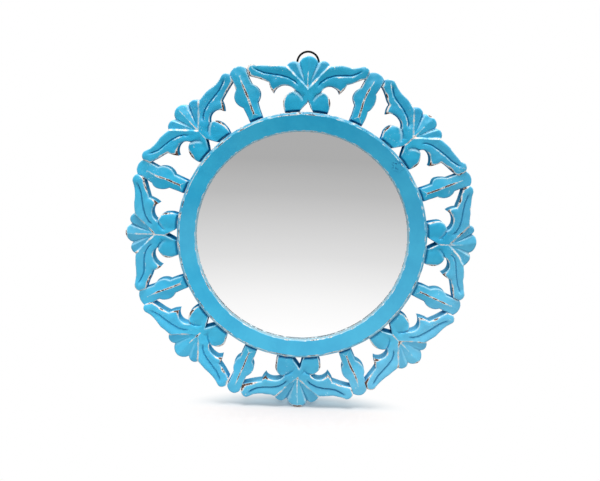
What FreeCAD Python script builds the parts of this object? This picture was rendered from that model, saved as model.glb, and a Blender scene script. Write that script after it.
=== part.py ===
import FreeCAD, Part
import math
import os
import re
import Sketcher

Vector = FreeCAD.Vector
doc = FreeCAD.newDocument("wall_mirror")

# Sizes in millimetres and degrees. The mirror axis is Y, the wall plane is y = 0, the front is at -Y.
# A "rise" is measured outwards from the outer radius of the ring, a "side" from the axis of the piece.
sizes = [
    ("flower_count", "8"),
    # ring
    ("ring_inner", "138"),
    ("ring_width", "25"),
    ("ring_ridge", "20.5"),
    ("ring_lip", "16.5"),
    ("ring_bevel", "3"),
    ("bevel_drop", "4"),
    # glass and back
    ("glass_lap", "5.5"),
    ("glass_thick", "4"),
    ("glass_play", "0.5"),
    ("card_thick", "2"),
    ("board_thick", "4"),
    ("board_lap", "6"),
    ("board_play", "0.5"),
    # flower outline
    ("flower_thick", "20"),
    ("gap_half", "8.5"),
    ("gap_rise", "14.8"),
    ("foot_width", "18"),
    ("foot_slope", "4"),
    ("knob_reach", "3"),
    ("knob_rise", "11"),
    ("notch_side", "17.5"),
    ("notch_rise", "25"),
    ("arch_rise", "31.6"),
    ("barb_side", "40.8"),
    ("barb_rise", "23"),
    ("heel_side", "48"),
    ("heel_rise", "35.3"),
    ("leaf_bow", "0.4"),
    ("crest_back", "8.4"),
    ("crest_lift", "6.9"),
    ("waist_rise", "54.6"),
    ("shoulder_side", "42"),
    ("shoulder_rise", "55.3"),
    ("fan_side", "27"),
    ("fan_corner_rise", "54"),
    ("lobe_side", "12"),
    ("lobe_rise", "58.7"),
    ("lobe_bulge", "4.3"),
    ("lobe_lean", "1"),
    ("fan_rise", "67.7"),
    # flower carving
    ("fan_base_rise", "27.5"),
    ("fan_depth", "1"),
    ("fan_fall", "3"),
    ("fan_roof", "4.5"),
    ("petal_cut_depth", "5.5"),
    ("petal_cut_half", "7"),
    ("petal_cut_start", "10"),
    ("vein_depth", "2.2"),
    ("vein_half", "1.6"),
    ("vein_start_side", "12"),
    ("vein_start_rise", "31"),
    ("vein_mid_side", "44"),
    ("vein_mid_rise", "44.7"),
    ("vein_sag", "1.3"),
    ("vein_tip_drop", "4.5"),
    ("knob_cut_depth", "3"),
    ("knob_cut_half", "6"),
    ("knob_cut_side", "5.3"),
    ("knob_cut_drop", "8"),
    # cutters reach past what they cut
    ("cutter_reach", "80"),
    ("cutter_lap", "3"),
    ("cutter_height", "6"),
    # bar
    ("bar_thick", "18"),
    ("bar_foot_half", "8.5"),
    ("stem_half", "9"),
    ("stem_rise", "20"),
    ("swell_half", "14.5"),
    ("neck_rise", "43"),
    ("bar_half", "10"),
    ("bar_rise", "68"),
    ("bar_roof", "9"),
    ("bar_fall", "11"),
    ("join_rise", "54.5"),
    ("join_length", "9"),
    # dowels
    ("dowel_diameter", "6"),
    ("dowel_length", "20"),
    ("dowel_play", "0.05"),
    ("dowel_end_play", "0.5"),
    ("dowel_depth", "9.5"),
    ("dowel_chamfer", "0.8"),
    # screws
    ("screw_diameter", "3"),
    ("screw_length", "12"),
    ("screw_head", "5.6"),
    ("screw_head_height", "1.7"),
    ("screw_sink", "0.2"),
    ("screw_play", "0.05"),
    ("screw_point", "2"),
    ("point_radius", "0.2"),
    ("slot_width", "0.9"),
    ("slot_depth", "0.8"),
    # hanger
    ("wire_diameter", "2.6"),
    ("hanger_width", "29.8"),
    ("hanger_overhang", "8"),
    ("hanger_leg", "7.3"),
    ("hanger_corner", "4"),
    ("hinge_play", "0.08"),
    ("strap_thick", "1"),
    ("strap_width", "14"),
    ("strap_length", "31"),
    ("strap_screw_drop", "9.5"),
    ("strap_screw_pitch", "16.5"),
    ("pan_head", "6.4"),
    ("pan_head_height", "1.9"),
    ("pan_screw_length", "13"),
]

# Sizes that follow from the others
followers = [
    ("half_step", "=180 / flower_count"),
    ("ring_outer", "=ring_inner + ring_width"),
    ("glass_radius", "=ring_inner + glass_lap"),
    ("rabbet_radius", "=glass_radius + glass_play"),
    ("card_top", "=board_thick + card_thick"),
    ("glass_top", "=card_top + glass_thick"),
    ("board_radius", "=rabbet_radius + board_lap"),
    ("recess_radius", "=board_radius + board_play"),
    ("foot_outer", "=gap_half + foot_width"),
    ("foot_centre", "=gap_half + foot_width / 2"),
    ("foot_face", "=ring_ridge - bevel_drop"),
    ("joint_low", "=ring_outer + join_rise"),
    ("joint_high", "=joint_low + join_length"),
    ("low_side", "=joint_low * sin(half_step) - bar_half * cos(half_step)"),
    ("low_rise", "=joint_low * cos(half_step) + bar_half * sin(half_step) - ring_outer"),
    ("tip_side", "=joint_high * sin(half_step) - bar_half * cos(half_step)"),
    ("tip_rise", "=joint_high * cos(half_step) + bar_half * sin(half_step) - ring_outer"),
    ("crest_side", "=tip_side - crest_back"),
    ("crest_rise", "=tip_rise + crest_lift"),
    ("petal_in_side", "=lobe_side * 0.25"),
    ("petal_in_rise", "=fan_base_rise + petal_cut_start"),
    ("dowel_hole", "=dowel_diameter / 2 + dowel_play"),
    ("dowel_bury", "=dowel_length / 2 + dowel_end_play"),
    ("ring_dowel_radius", "=(ring_outer + rabbet_radius) / 2"),
    ("screw_radius", "=rabbet_radius + board_lap / 2"),
    ("screw_hole", "=screw_diameter / 2 + screw_play"),
    ("wire_radius", "=wire_diameter / 2"),
    ("hanger_radius", "=hanger_width / 2 - wire_radius"),
    ("eye_radius", "=wire_radius + hinge_play"),
    ("hinge_out", "=strap_thick + eye_radius"),
    ("arc_height", "=ring_outer + fan_rise + hanger_overhang - hanger_width / 2"),
    ("hinge_height", "=arc_height - hanger_leg"),
]

sheet = doc.addObject("Spreadsheet::Sheet", "Sizes")
for row, (name, text) in enumerate(sizes + followers, 1):
    sheet.set("A%d" % row, name)
    sheet.set("B%d" % row, text)
    sheet.setAlias("B%d" % row, name)
doc.recompute()
names = {name for name, text in sizes + followers}


def cells(text):
    return re.sub(r"[a-z_]+", lambda word: "Sizes." + word[0] if word[0] in names else word[0], text)


def bind(thing, field, text):
    thing.setExpression(field, cells(text))


def value(text):
    number = sheet.evalExpression(cells(text))
    return float(getattr(number, "Value", number))


def origin(body, role):
    return [item for item in body.Origin.OriginFeatures if item.Role == role][0]


def new_sketch(body, name, role, offset=None):
    sketch = body.newObject("Sketcher::SketchObject", name)
    sketch.AttachmentSupport = [(origin(body, role), "")]
    sketch.MapMode = "FlatFace"
    if offset:
        bind(sketch, "AttachmentOffset", offset)
    doc.recompute()
    return sketch


def turned(vector, rotation):
    return "placement(vector(%s); %s)" % (vector, rotation)


def about(axis, angle):
    return "rotation(vector(%s); %s)" % (axis, angle)


def hold(sketch, geometry, end, point):
    for kind, axis, text in (("DistanceX", -2, point[0]), ("DistanceY", -1, point[1])):
        if text == "0":
            sketch.addConstraint(Sketcher.Constraint("PointOnObject", geometry, end, axis))
        else:
            index = sketch.addConstraint(Sketcher.Constraint(kind, -1, 1, geometry, end, value(text)))
            bind(sketch, "Constraints[%d]" % index, text)


def arc_through(first, middle, last):
    # an arc runs anticlockwise in a sketch, so tell whether it starts at the first point
    centre = Part.Arc(first, middle, last).toShape().Curve.Center
    radius = (first - centre).Length
    angles = [math.atan2(p.y - centre.y, p.x - centre.x) for p in (first, middle, last)]
    along = (angles[1] - angles[0]) % (2 * math.pi) < (angles[2] - angles[0]) % (2 * math.pi)
    begin, finish = (angles[0], angles[2]) if along else (angles[2], angles[0])
    circle = Part.Circle(centre, Vector(0, 0, 1), radius)
    return Part.ArcOfCircle(circle, begin, finish), along


def draw(sketch, path, closed=True):
    # a path is a row of points; a point of three items is the middle of an arc between its neighbours
    corners = [point for point in path if len(point) == 2]
    count = len(corners) if closed else len(corners) - 1
    ends = []
    for number in range(count):
        first = corners[number]
        last = corners[(number + 1) % len(corners)]
        spot = path.index(first)
        follows = path[(spot + 1) % len(path)]
        start = Vector(value(first[0]), value(first[1]), 0)
        stop = Vector(value(last[0]), value(last[1]), 0)
        if len(follows) == 3:
            middle = Vector(value(follows[0]), value(follows[1]), 0)
            arc, along = arc_through(start, middle, stop)
            geometry = sketch.addGeometry(arc)
            ends.append((geometry, 1, 2) if along else (geometry, 2, 1))
            through = sketch.addGeometry(Part.Point(middle), True)
            sketch.addConstraint(Sketcher.Constraint("PointOnObject", through, 1, geometry))
            hold(sketch, through, 1, follows[:2])
        else:
            geometry = sketch.addGeometry(Part.LineSegment(start, stop))
            ends.append((geometry, 1, 2))
    for number in range(count):
        hold(sketch, ends[number][0], ends[number][1], corners[number])
        if number + 1 < count or closed:
            after = ends[(number + 1) % count]
            sketch.addConstraint(
                Sketcher.Constraint("Coincident", ends[number][0], ends[number][2], after[0], after[1]))
    if not closed:
        hold(sketch, ends[-1][0], ends[-1][2], corners[-1])
    doc.recompute()


def ring_of_holes(sketch, centres, radius):
    for centre in centres:
        middle = Vector(value(centre[0]), value(centre[1]), 0)
        circle = sketch.addGeometry(Part.Circle(middle, Vector(0, 0, 1), value(radius)))
        hold(sketch, circle, 3, centre)
        index = sketch.addConstraint(Sketcher.Constraint("Radius", circle, value(radius)))
        bind(sketch, "Constraints[%d]" % index, radius)
    doc.recompute()


def turning_axis(sketch, height):
    level = value(height)
    reach = value("cutter_reach")
    line = sketch.addGeometry(Part.LineSegment(Vector(-reach, level, 0), Vector(reach, level, 0)), True)
    hold(sketch, line, 1, ("-cutter_reach", height))
    hold(sketch, line, 2, ("cutter_reach", height))


def add_feature(body, kind, name, sketch, **settings):
    feature = body.newObject("PartDesign::" + kind, name)
    feature.Profile = sketch
    for field, setting in settings.items():
        if isinstance(setting, str) and field in ("Length", "Angle"):
            bind(feature, field, setting)
        else:
            setattr(feature, field, setting)
    doc.recompute()
    return feature


def new_body(name):
    return doc.addObject("PartDesign::Body", name)


def mirrored_points(half):
    # the right half of an outline, starting and ending on the axis, becomes the whole outline
    left = [("-(%s)" % point[0],) + tuple(point[1:]) for point in reversed(half)]
    return list(half) + [point for point in left if point[0] != "-(0)"]


def carve_plane(body, name, vector, rotation, polygon):
    # cut away everything in front of a tilted plane inside the polygon
    sketch = new_sketch(body, name + "_plane", "XZ_Plane", turned(vector, rotation))
    draw(sketch, polygon)
    return add_feature(body, "Pocket", name, sketch, Type="ThroughAll", Reversed=True)


def carve_v(body, name, start, finish, start_height, finish_height, spread):
    # a straight V cut whose bottom runs from start to finish, both given as side and height above the axis
    run = "sqrt((%s - (%s))^2 + (%s - (%s))^2)" % (start[0], finish[0], start[1], finish[1])
    heading = "atan2(%s - (%s); %s - (%s))" % (start[1], finish[1], start[0], finish[0])
    pitch = "atan2(%s - (%s); %s)" % (start_height, finish_height, run)
    rotation = "%s * %s * %s" % (about("0; 0; 1", heading), about("0; 1; 0", "90 deg - " + pitch),
                                 about("0; 0; 1", "90"))
    place = turned("%s; %s; %s" % (start[0], start[1], start_height), rotation)
    sketch = new_sketch(body, name + "_profile", "XZ_Plane", place)
    draw(sketch, [("0", "0"), (spread, "cutter_height"), ("-" + spread, "cutter_height")])
    return add_feature(body, "Pocket", name, sketch, Length=run)


def foot_bevel(body, front):
    # the slope that makes a V with the bevel of the ring
    sketch = new_sketch(body, "foot_bevel_profile", "YZ_Plane")
    above = "-(%s + cutter_lap)" % front
    inside = "ring_outer - cutter_lap * 3"
    draw(sketch, [("-foot_face", "ring_outer"), ("-(%s)" % front, "ring_outer + foot_slope"),
                  (above, "ring_outer + foot_slope"), (above, inside), ("-foot_face", inside)])
    return add_feature(body, "Groove", "foot_bevel", sketch, ReferenceAxis=(sketch, ["H_Axis"]), Angle="360")


def foot_holes(body, sides):
    level = turned("0; 0; ring_outer + dowel_bury", about("0; 0; 1", "0"))
    sketch = new_sketch(body, "dowel_hole_circles", "XY_Plane", level)
    ring_of_holes(sketch, [(side, "-dowel_depth") for side in sides], "dowel_hole")
    return add_feature(body, "Pocket", "dowel_holes", sketch, Type="ThroughAll")


def placed(source, name, angle):
    twin = doc.addObject("Part::Compound", name)
    twin.Links = [source]
    twin.Placement = FreeCAD.Placement(Vector(0, 0, 0), FreeCAD.Rotation(Vector(0, 1, 0), 1))
    bind(twin, "Placement.Rotation.Angle", angle)
    return twin


def group(name, members):
    bundle = doc.addObject("Part::Compound", name)
    bundle.Links = members
    return bundle


nodes = []


def node(thing, label):
    thing.Label = label
    nodes.append(thing)


# Ring segment, drawn at the top and centred on a bar
segment = new_body("segment_pattern")
profile = new_sketch(segment, "segment_profile", "YZ_Plane")
draw(profile, [("0", "recess_radius"), ("0", "ring_outer"), ("-foot_face", "ring_outer"),
               ("-ring_ridge", "ring_outer - ring_bevel"), ("-ring_lip", "ring_inner"),
               ("-glass_top", "ring_inner"), ("-glass_top", "rabbet_radius"),
               ("-board_thick", "rabbet_radius"), ("-board_thick", "recess_radius")])
add_feature(segment, "Revolution", "segment_turning", profile, ReferenceAxis=(profile, ["H_Axis"]),
            Angle="2 * half_step", Midplane=True)
floor = turned("0; 0; ring_outer - dowel_bury", about("0; 0; 1", "0"))
circles = new_sketch(segment, "bar_dowel_circle", "XY_Plane", floor)
ring_of_holes(circles, [("0", "-dowel_depth")], "dowel_hole")
add_feature(segment, "Pocket", "bar_dowel_hole", circles, Type="ThroughAll", Reversed=True)
for word, sign in (("right", ""), ("left", "-")):
    reach = "(ring_outer - dowel_bury)"
    floor = turned("%s%s * sin(half_step); 0; %s * cos(half_step)" % (sign, reach, reach),
                   about("0; 1; 0", sign + "half_step"))
    circles = new_sketch(segment, word + "_foot_circle", "XY_Plane", floor)
    side = "-foot_centre" if word == "right" else "foot_centre"
    ring_of_holes(circles, [(side, "-dowel_depth")], "dowel_hole")
    add_feature(segment, "Pocket", word + "_foot_hole", circles, Type="ThroughAll", Reversed=True)
    end_face = turned("0; 0; 0", about("1; 0; 0", sign + "half_step"))
    circles = new_sketch(segment, word + "_end_circle", "YZ_Plane", end_face)
    ring_of_holes(circles, [("-dowel_depth", "ring_dowel_radius")], "dowel_hole")
    add_feature(segment, "Pocket", word + "_end_hole", circles, Length="dowel_bury", Reversed=word == "left")
circles = new_sketch(segment, "screw_circle", "XZ_Plane")
ring_of_holes(circles, [("0", "screw_radius")], "screw_hole")
add_feature(segment, "Pocket", "screw_hole", circles, Reversed=True,
            Length="screw_length + screw_sink + dowel_end_play")

# Flower, drawn at the top
flower = new_body("flower_pattern")
outline = new_sketch(flower, "flower_outline", "XZ_Plane")
half = [
    ("0", "ring_outer + gap_rise"),
    ("gap_half", "sqrt(ring_outer^2 - gap_half^2)"),
    ("foot_centre", "sqrt(ring_outer^2 - foot_centre^2)", "arc"),
    ("foot_outer", "sqrt(ring_outer^2 - foot_outer^2)"),
    ("foot_outer + knob_reach * 0.75", "ring_outer + knob_rise * 0.4", "arc"),
    ("foot_outer + knob_reach", "ring_outer + knob_rise"),
    ("notch_side + (foot_outer + knob_reach - notch_side) * 0.68",
     "knob_rise + ring_outer + (notch_rise - knob_rise) * 0.7", "arc"),
    ("notch_side", "ring_outer + notch_rise"),
    ("notch_side + (barb_side - notch_side) * 0.36", "ring_outer + arch_rise", "arc"),
    ("barb_side", "ring_outer + barb_rise"),
    ("barb_side + (heel_side - barb_side) * 0.64",
     "ring_outer + barb_rise + (heel_rise - barb_rise) * 0.5", "arc"),
    ("heel_side", "ring_outer + heel_rise"),
    ("(heel_side + low_side) / 2", "ring_outer + (heel_rise + low_rise) / 2 + leaf_bow", "arc"),
    ("low_side", "ring_outer + low_rise"),
    ("tip_side", "ring_outer + tip_rise"),
    ("tip_side - crest_back * 0.33", "ring_outer + tip_rise + crest_lift * 0.71", "arc"),
    ("crest_side", "ring_outer + crest_rise"),
    ("(crest_side + shoulder_side) / 2", "ring_outer + waist_rise", "arc"),
    ("shoulder_side", "ring_outer + shoulder_rise"),
    ("(shoulder_side + fan_side) / 2",
     "ring_outer + (shoulder_rise + fan_corner_rise) / 2 + leaf_bow / 2", "arc"),
    ("fan_side", "ring_outer + fan_corner_rise"),
    ("(fan_side + lobe_side) / 2 + lobe_lean",
     "ring_outer + (fan_corner_rise + lobe_rise) / 2 + lobe_bulge", "arc"),
    ("lobe_side", "ring_outer + lobe_rise"),
    ("0", "ring_outer + fan_rise", "arc"),
]
draw(outline, mirrored_points(half))
add_feature(flower, "Pad", "flower_blank", outline, Length="flower_thick")

# the fan lies a step below the leaves, as two planes that meet in a ridge
fan_top = "0; ring_outer + fan_base_rise; flower_thick - fan_depth"
slope = "atan2(fan_side; fan_corner_rise - fan_base_rise)"
for word, sign in (("right", ""), ("left", "-")):
    other = "-" if sign == "" else ""
    tilt = "%s * %s" % (about("1; 0; 0", "-fan_fall"), about("0; 1; 0", sign + "fan_roof"))
    wedge = [("0", "0"), (sign + "cutter_reach * sin(%s)" % slope, "cutter_reach * cos(%s)" % slope),
             ("0", "cutter_reach"), (other + "cutter_lap", "cutter_reach"),
             (other + "cutter_lap", "cutter_lap / tan(%s)" % slope)]
    carve_plane(flower, word + "_fan", fan_top, tilt, wedge)
petal_low = "flower_thick - fan_depth - petal_cut_depth - (lobe_rise - fan_base_rise) * tan(fan_fall)"
petal_high = "flower_thick - fan_depth"
for word, sign in (("right", ""), ("left", "-")):
    rim = (sign + "(lobe_side + (lobe_side - petal_in_side) * 0.2)",
           "(ring_outer + lobe_rise + (lobe_rise - petal_in_rise) * 0.2)")
    inner = (sign + "petal_in_side", "(ring_outer + petal_in_rise)")
    carve_v(flower, word + "_petal_cut", rim, inner, petal_low, petal_high, "petal_cut_half")
    corner = (sign + "notch_side", "(ring_outer + notch_rise)")
    middle = (sign + "knob_cut_side", "(ring_outer + notch_rise - knob_cut_drop)")
    carve_v(flower, word + "_knob_cut", corner, middle, "flower_thick - knob_cut_depth",
            "flower_thick", "knob_cut_half")

# the vein of a leaf is a V groove along two arcs
for word, sign in (("right", ""), ("left", "-")):
    front = turned("0; 0; flower_thick", about("0; 0; 1", "0"))
    vein = new_sketch(flower, word + "_vein_path", "XZ_Plane", front)
    points = [("vein_start_side", "ring_outer + vein_start_rise"),
              ("vein_start_side + (vein_mid_side - vein_start_side) * 0.38",
               "ring_outer + vein_start_rise + (vein_mid_rise - vein_start_rise) * 0.72", "arc"),
              ("vein_mid_side", "ring_outer + vein_mid_rise")]
    beyond = [("vein_mid_side", "ring_outer + vein_mid_rise"),
              ("(vein_mid_side + crest_side) / 2",
               "ring_outer + (vein_mid_rise + crest_rise - vein_tip_drop) / 2 - vein_sag", "arc"),
              ("crest_side", "ring_outer + crest_rise - vein_tip_drop")]
    for number, stretch in enumerate((points, beyond)):
        flipped = [(sign + "(%s)" % point[0],) + tuple(point[1:]) for point in stretch]
        path = vein if number == 0 else new_sketch(flower, word + "_vein_end_path", "XZ_Plane", front)
        draw(path, flipped, closed=False)
        rise = "(%s - (%s))" % (stretch[1][1], stretch[0][1])
        run = "(%s(%s - (%s)))" % (sign, stretch[1][0], stretch[0][0])
        heading = about("0; 0; 1", "atan2(%s; %s)" % (rise, run))
        stand = "%s * %s * %s" % (heading, about("0; 1; 0", "90"), about("0; 0; 1", "90"))
        begin = "%s; %s; flower_thick" % (flipped[0][0], flipped[0][1])
        section = new_sketch(flower, word + "_vein_section%d" % number, "XZ_Plane", turned(begin, stand))
        draw(section, [("0", "-vein_depth"), ("vein_half", "0"), ("vein_half", "cutter_lap"),
                       ("-vein_half", "cutter_lap"), ("-vein_half", "0")])
        add_feature(flower, "SubtractivePipe", word + "_vein%d" % number, section, Spine=(path, ["Edge1"]))
foot_bevel(flower, "flower_thick")
foot_holes(flower, ["foot_centre", "-foot_centre"])

# Bar, drawn at the top
bar = new_body("bar_pattern")
outline = new_sketch(bar, "bar_outline", "XZ_Plane")
half = [
    ("0", "ring_outer", "arc"),
    ("bar_foot_half", "sqrt(ring_outer^2 - bar_foot_half^2)"),
    ("stem_half", "ring_outer + stem_rise"),
    ("swell_half", "ring_outer + (stem_rise + neck_rise) / 2", "arc"),
    ("bar_half", "ring_outer + neck_rise"),
    ("bar_half", "joint_high"),
    ("0", "ring_outer + bar_rise", "arc"),
]
draw(outline, mirrored_points(half))
add_feature(bar, "Pad", "bar_blank", outline, Length="bar_thick")
for word, sign in (("right", ""), ("left", "-")):
    other = "-" if sign == "" else ""
    side_plane = [(other + "cutter_lap", "-cutter_reach"), (sign + "cutter_reach", "-cutter_reach"),
                  (sign + "cutter_reach", "bar_rise + cutter_lap"),
                  (other + "cutter_lap", "bar_rise + cutter_lap")]
    tilt = about("0; 1; 0", sign + "bar_roof")
    carve_plane(bar, word + "_roof", "0; ring_outer; bar_thick", tilt, side_plane)
head_plane = [("-cutter_reach", "0"), ("cutter_reach", "0"), ("cutter_reach", "cutter_reach"),
              ("-cutter_reach", "cutter_reach")]
carve_plane(bar, "head_slope", "0; ring_outer + neck_rise; bar_thick", about("1; 0; 0", "-bar_fall"),
            head_plane)
foot_bevel(bar, "bar_thick")
foot_holes(bar, ["0"])

# Dowel, standing on its middle along Z
dowel = new_body("dowel_pattern")
circles = new_sketch(dowel, "dowel_circle", "XY_Plane")
ring_of_holes(circles, [("0", "0")], "dowel_diameter / 2")
rod = add_feature(dowel, "Pad", "dowel_rod", circles, Length="dowel_length", Midplane=True)
ends = dowel.newObject("PartDesign::Chamfer", "dowel_ends")
rims = ["Edge%d" % (n + 1) for n, edge in enumerate(rod.Shape.Edges) if edge.isClosed()]
ends.Base = (rod, rims)
bind(ends, "Size", "dowel_chamfer")
doc.recompute()


def dowel_at(name, vector, angle):
    twin = doc.addObject("Part::Compound", name)
    twin.Links = [dowel]
    bind(twin, "Placement", turned(vector, about("0; 1; 0", angle)))
    return twin


# Glass, card and board
for name, radius, low, thick in (("mirror_glass", "glass_radius", "card_top", "glass_thick"),
                                 ("backing_card", "glass_radius", "board_thick", "card_thick")):
    disc = new_body(name)
    circles = new_sketch(disc, name + "_circle", "XZ_Plane", turned("0; 0; " + low, about("0; 0; 1", "0")))
    ring_of_holes(circles, [("0", "0")], radius)
    add_feature(disc, "Pad", name + "_disc", circles, Length=thick)
    node(disc, name)
board = new_body("backing_board")
circles = new_sketch(board, "board_circle", "XZ_Plane")
ring_of_holes(circles, [("0", "0")], "board_radius")
add_feature(board, "Pad", "board_disc", circles, Length="board_thick")
sink = new_sketch(board, "sink_profile", "YZ_Plane")
draw(sink, [("cutter_lap", "screw_radius"), ("cutter_lap", "screw_radius + screw_head / 2 + screw_play"),
            ("-screw_sink", "screw_radius + screw_head / 2 + screw_play"),
            ("-(screw_sink + screw_head_height)", "screw_radius + screw_hole"),
            ("-(board_thick + cutter_lap)", "screw_radius + screw_hole"),
            ("-(board_thick + cutter_lap)", "screw_radius")])
turning_axis(sink, "screw_radius")
cut = add_feature(board, "Groove", "screw_sink_cut", sink, ReferenceAxis=(sink, ["Axis0"]), Angle="360")
spread = board.newObject("PartDesign::PolarPattern", "screw_sinks")
spread.Originals = [cut]
spread.Axis = (origin(board, "Y_Axis"), [""])
spread.Angle = 360
bind(spread, "Occurrences", "flower_count")
board.Tip = spread
board.Placement = FreeCAD.Placement(Vector(0, 0, 0), FreeCAD.Rotation(Vector(0, 1, 0), 1))
bind(board, "Placement.Rotation.Angle", "half_step")
node(board, "backing_board")


def screw_body(name, height, outside, profile_points):
    # turned about a line along Y at the given height, with a slot across the head
    body = new_body(name)
    sketch = new_sketch(body, name + "_profile", "YZ_Plane")
    draw(sketch, [(point[0], "%s + %s" % (height, point[1]) if point[1] != "0" else height)
                  for point in profile_points])
    turning_axis(sketch, height)
    add_feature(body, "Revolution", name + "_turning", sketch, ReferenceAxis=(sketch, ["Axis0"]), Angle="360")
    slot = new_sketch(body, name + "_slot_box", "XZ_Plane",
                      turned("0; %s; -(%s) + slot_depth" % (height, outside), about("0; 0; 1", "0")))
    draw(slot, [("-cutter_reach", "-slot_width / 2"), ("cutter_reach", "-slot_width / 2"),
                ("cutter_reach", "slot_width / 2"), ("-cutter_reach", "slot_width / 2")])
    add_feature(body, "Pocket", name + "_slot", slot, Type="ThroughAll")
    return body


backing_screw = screw_body("backing_screw", "screw_radius", "-screw_sink", [
    ("-screw_sink", "0"), ("-screw_sink", "screw_head / 2"),
    ("-(screw_sink + screw_head_height)", "screw_diameter / 2"),
    ("-(screw_sink + screw_length - screw_point)", "screw_diameter / 2"),
    ("-(screw_sink + screw_length)", "point_radius"),
    ("-(screw_sink + screw_length)", "0")])
count = int(value("flower_count"))
screws = []
for number in range(count):
    bar_angle = "(%d * half_step)" % (2 * number + 1)
    screws.append(placed(backing_screw, "backing_screw_%d" % (number + 1), bar_angle))
node(group("backing_screws", screws), "backing_screws")

# Segments, flowers, bars and their dowels round the ring
ring_dowels = []
flower_dowels = []
bar_dowels = []
pilots = []
for drop in ("strap_screw_drop", "strap_screw_drop + strap_screw_pitch"):
    pilot = doc.addObject("Part::Cylinder", "strap_pilot")
    bind(pilot, "Radius", "screw_hole")
    bind(pilot, "Height", "pan_screw_length + dowel_end_play")
    bind(pilot, "Placement", turned("0; strap_thick; hinge_height - (%s)" % drop, about("1; 0; 0", "90")))
    pilots.append(pilot)
for number in range(count):
    flower_angle = "(%d * half_step)" % (2 * number)
    bar_angle = "(%d * half_step)" % (2 * number + 1)
    label = str(number + 1)
    node(placed(segment, "ring_segment_" + label, bar_angle), "ring_segment_" + label)
    if number == 0:
        top = doc.addObject("Part::MultiFuse", "strap_pilots")
        top.Shapes = pilots
        drilled = doc.addObject("Part::Cut", "flower_1")
        drilled.Base = flower
        drilled.Tool = top
        node(drilled, "flower_1")
    else:
        node(placed(flower, "flower_" + label, flower_angle), "flower_" + label)
    node(placed(bar, "leaf_bar_" + label, bar_angle), "leaf_bar_" + label)
    flat = "ring_dowel_radius * sin(%s); -dowel_depth; ring_dowel_radius * cos(%s)"
    ring_dowels.append(dowel_at("ring_dowel_" + label, flat % (flower_angle, flower_angle),
                                flower_angle + " + 90"))
    for word, sign in (("a", "-"), ("b", "")):
        spot = "ring_outer * sin({0}) + {1}foot_centre * cos({0}); -dowel_depth; " \
               "ring_outer * cos({0}) - {1}foot_centre * sin({0})".format(flower_angle, sign)
        flower_dowels.append(dowel_at("flower_dowel_" + label + word, spot, flower_angle))
    flat = "ring_outer * sin(%s); -dowel_depth; ring_outer * cos(%s)"
    bar_dowels.append(dowel_at("bar_dowel_" + label, flat % (bar_angle, bar_angle), bar_angle))
node(group("ring_dowels", ring_dowels), "ring_dowels")
node(group("flower_dowels", flower_dowels), "flower_dowels")
node(group("bar_dowels", bar_dowels), "bar_dowels")

# Hanger strap: a plate on the back of the top flower with its upper end rolled into an eye
strap = new_body("hanger_strap")
plate = new_sketch(strap, "strap_plate_outline", "XZ_Plane")
bottom = "hinge_height - strap_length"
draw(plate, [("-strap_width / 2", "hinge_height"), ("-strap_width / 2", bottom + " + strap_width / 4"),
             ("0", bottom, "arc"), ("strap_width / 2", bottom + " + strap_width / 4"),
             ("strap_width / 2", "hinge_height")])
add_feature(strap, "Pad", "strap_plate", plate, Length="strap_thick", Reversed=True)
eye = new_sketch(strap, "strap_eye_circle", "YZ_Plane")
ring_of_holes(eye, [("hinge_out", "hinge_height")], "eye_radius + strap_thick")
add_feature(strap, "Pad", "strap_eye", eye, Length="strap_width", Midplane=True)
bore = new_sketch(strap, "strap_bore_circle", "YZ_Plane",
                  turned("0; 0; strap_width", about("0; 0; 1", "0")))
ring_of_holes(bore, [("hinge_out", "hinge_height")], "eye_radius")
add_feature(strap, "Pocket", "strap_bore", bore, Type="ThroughAll")
holes = new_sketch(strap, "strap_screw_circles", "XZ_Plane", turned("0; 0; cutter_lap", about("0; 0; 1", "0")))
ring_of_holes(holes, [("0", "hinge_height - strap_screw_drop"),
                      ("0", "hinge_height - strap_screw_drop - strap_screw_pitch")], "screw_hole")
add_feature(strap, "Pocket", "strap_screw_holes", holes, Type="ThroughAll")
node(strap, "hanger_strap")

# Hanger screws with a low round head
pan_screws = []
for number, drop in enumerate(("strap_screw_drop", "strap_screw_drop + strap_screw_pitch")):
    height = "(hinge_height - (%s))" % drop
    pan_screws.append(screw_body("pan_screw_%d" % (number + 1), height, "strap_thick + pan_head_height", [
        ("strap_thick + pan_head_height", "0"),
        ("strap_thick + pan_head_height", "pan_head * 0.25"),
        ("strap_thick + pan_head_height * 0.7", "pan_head * 0.42", "arc"),
        ("strap_thick", "pan_head / 2"),
        ("strap_thick", "screw_diameter / 2"),
        ("strap_thick + screw_point - pan_screw_length", "screw_diameter / 2"),
        ("strap_thick - pan_screw_length", "point_radius"), ("strap_thick - pan_screw_length", "0")]))
node(group("hanger_screws", pan_screws), "hanger_screws")

# Hanger ring: a D of round wire whose straight side turns in the eye of the strap
wire = []


def wire_bend(name, radius, angle, vector, turn):
    bend = doc.addObject("Part::Torus", name)
    bind(bend, "Radius1", radius)
    bind(bend, "Radius2", "wire_radius")
    bend.Angle3 = angle
    bind(bend, "Placement", turned(vector, "%s * %s" % (about("1; 0; 0", "90"), about("0; 0; 1", turn))))
    wire.append(bend)


def wire_rod(name, length, vector, rotation):
    straight = doc.addObject("Part::Cylinder", name)
    bind(straight, "Radius", "wire_radius")
    bind(straight, "Height", length)
    bind(straight, "Placement", turned(vector, rotation))
    wire.append(straight)


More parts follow.
